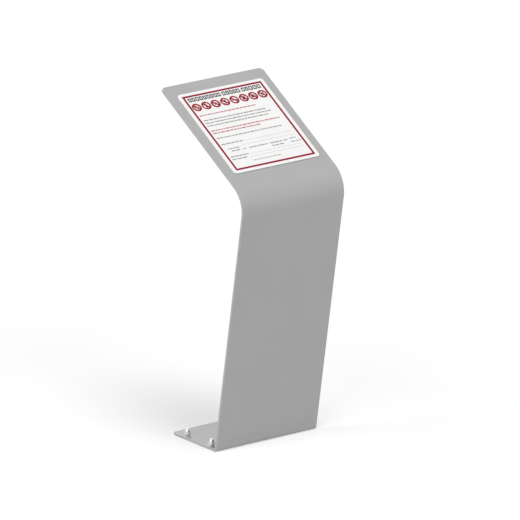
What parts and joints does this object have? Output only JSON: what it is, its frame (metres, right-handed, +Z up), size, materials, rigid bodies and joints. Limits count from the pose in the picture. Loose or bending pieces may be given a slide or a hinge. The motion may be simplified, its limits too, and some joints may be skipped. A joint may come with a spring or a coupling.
{
  "type": "information board",
  "caption": "Ground-fixed lectern board of one folded steel plate, with a bonded sign on its sloping reading panel.",
  "frame": {"origin": "middle of the foot's underside, at ground level", "axes": "+Z up, +Y from the reader towards the back, +X to the reader's right"},
  "size_m": [0.4, 0.4354, 1.1354],
  "materials": {
    "powder_coat": "fine-textured matt grey powder coat",
    "white_plastic_board": "satin white rigid plastic board",
    "printed_sheet": "satin printed film",
    "foam_tape": "closed-cell foam tape",
    "zinc_steel": "zinc plated",
    "bright_nut": "polished"
  },
  "bodies": {
    "root": {"bent_plate": "powder_coat", "sign_board": "white_plastic_board", "printed_sheet": "printed_sheet", "tape_strip_1": "foam_tape", "tape_strip_2": "foam_tape", "tape_strip_3": "foam_tape", "tape_strip_4": "foam_tape", "anchor_stud_front_left": "zinc_steel", "anchor_stud_front_right": "zinc_steel", "anchor_stud_rear_left": "zinc_steel", "anchor_stud_rear_right": "zinc_steel", "washer_front_left": "zinc_steel", "washer_front_right": "zinc_steel", "washer_rear_left": "zinc_steel", "washer_rear_right": "zinc_steel", "domed_nut_front_left": "bright_nut", "domed_nut_front_right": "bright_nut", "domed_nut_rear_left": "bright_nut", "domed_nut_rear_right": "bright_nut"}
  },
  "joints": []
}
